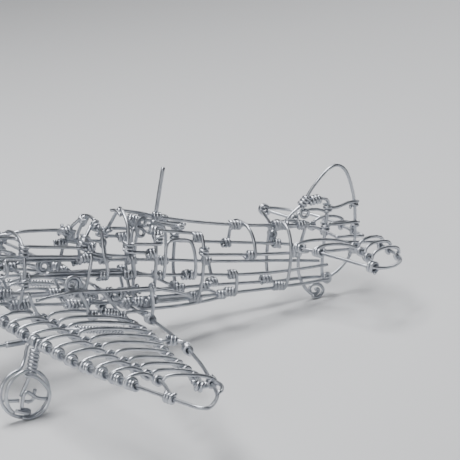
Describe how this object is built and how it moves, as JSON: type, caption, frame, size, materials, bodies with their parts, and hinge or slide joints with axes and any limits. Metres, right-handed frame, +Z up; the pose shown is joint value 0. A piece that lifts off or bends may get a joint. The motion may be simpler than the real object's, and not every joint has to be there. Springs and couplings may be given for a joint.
{
  "type": "wire sculpture",
  "caption": "Open-work aluminium wire sculpture of a low-wing fighter aeroplane with propeller, ribbed wings and wire-hoop body, standing nose-up on its wheels.",
  "frame": {"origin": "middle of the bounding box's bottom face, on the ground that the wheels stand on", "axes": "+X towards the tail, +Y towards the starboard wing tip, +Z up"},
  "size_m": [0.257, 0.3286, 0.084],
  "materials": {
    "upper_longeron_port_aluminium": "satin",
    "upper_longeron_starboard_aluminium": "satin",
    "middle_longeron_port_aluminium": "satin",
    "middle_longeron_starboard_aluminium": "satin",
    "cockpit_rail_port_aluminium": "satin",
    "cockpit_rail_starboard_aluminium": "satin",
    "deck_rail_port_aluminium": "satin",
    "deck_rail_starboard_aluminium": "satin",
    "door_arch_port_aluminium": "satin",
    "door_arch_starboard_aluminium": "satin",
    "wing_fillet_port_aluminium": "satin",
    "wing_fillet_starboard_aluminium": "satin",
    "gun_port_aluminium": "satin",
    "gun_starboard_aluminium": "satin",
    "ammunition_feed_port_aluminium": "satin",
    "ammunition_feed_starboard_aluminium": "satin",
    "tailplane_port_aluminium": "satin",
    "tailplane_starboard_aluminium": "satin",
    "gear_leg_port_aluminium": "satin",
    "gear_leg_starboard_aluminium": "satin",
    "wheel_port_aluminium": "satin",
    "wheel_starboard_aluminium": "satin",
    "lower_longeron_aluminium": "satin",
    "spine_wire_aluminium": "satin",
    "windshield_frame_aluminium": "satin",
    "hood_hoop_aluminium": "satin",
    "aerial_mast_aluminium": "satin",
    "seat_aluminium": "satin",
    "engine_aluminium": "satin",
    "propeller_aluminium": "satin",
    "wing_frame_aluminium": "satin",
    "belly_scoop_aluminium": "satin",
    "fin_and_rudder_aluminium": "satin",
    "tail_wheel_aluminium": "satin",
    "former_1_aluminium": "satin",
    "former_2_aluminium": "satin",
    "former_3_aluminium": "satin",
    "former_4_aluminium": "satin",
    "former_5_aluminium": "satin",
    "former_6_aluminium": "satin",
    "former_7_aluminium": "satin",
    "former_8_aluminium": "satin",
    "former_9_aluminium": "satin"
  },
  "bodies": {
    "root": {"upper_longeron_port": "upper_longeron_port_aluminium", "upper_longeron_starboard": "upper_longeron_starboard_aluminium", "middle_longeron_port": "middle_longeron_port_aluminium", "middle_longeron_starboard": "middle_longeron_starboard_aluminium", "cockpit_rail_port": "cockpit_rail_port_aluminium", "cockpit_rail_starboard": "cockpit_rail_starboard_aluminium", "deck_rail_port": "deck_rail_port_aluminium", "deck_rail_starboard": "deck_rail_starboard_aluminium", "door_arch_port": "door_arch_port_aluminium", "door_arch_starboard": "door_arch_starboard_aluminium", "wing_fillet_port": "wing_fillet_port_aluminium", "wing_fillet_starboard": "wing_fillet_starboard_aluminium", "gun_port": "gun_port_aluminium", "gun_starboard": "gun_starboard_aluminium", "ammunition_feed_port": "ammunition_feed_port_aluminium", "ammunition_feed_starboard": "ammunition_feed_starboard_aluminium", "tailplane_port": "tailplane_port_aluminium", "tailplane_starboard": "tailplane_starboard_aluminium", "gear_leg_port": "gear_leg_port_aluminium", "gear_leg_starboard": "gear_leg_starboard_aluminium", "wheel_port": "wheel_port_aluminium", "wheel_starboard": "wheel_starboard_aluminium", "lower_longeron": "lower_longeron_aluminium", "spine_wire": "spine_wire_aluminium", "windshield_frame": "windshield_frame_aluminium", "hood_hoop": "hood_hoop_aluminium", "aerial_mast": "aerial_mast_aluminium", "seat": "seat_aluminium", "engine": "engine_aluminium", "propeller": "propeller_aluminium", "wing_frame": "wing_frame_aluminium", "belly_scoop": "belly_scoop_aluminium", "fin_and_rudder": "fin_and_rudder_aluminium", "tail_wheel": "tail_wheel_aluminium", "former_1": "former_1_aluminium", "former_2": "former_2_aluminium", "former_3": "former_3_aluminium", "former_4": "former_4_aluminium", "former_5": "former_5_aluminium", "former_6": "former_6_aluminium", "former_7": "former_7_aluminium", "former_8": "former_8_aluminium", "former_9": "former_9_aluminium"}
  },
  "joints": []
}
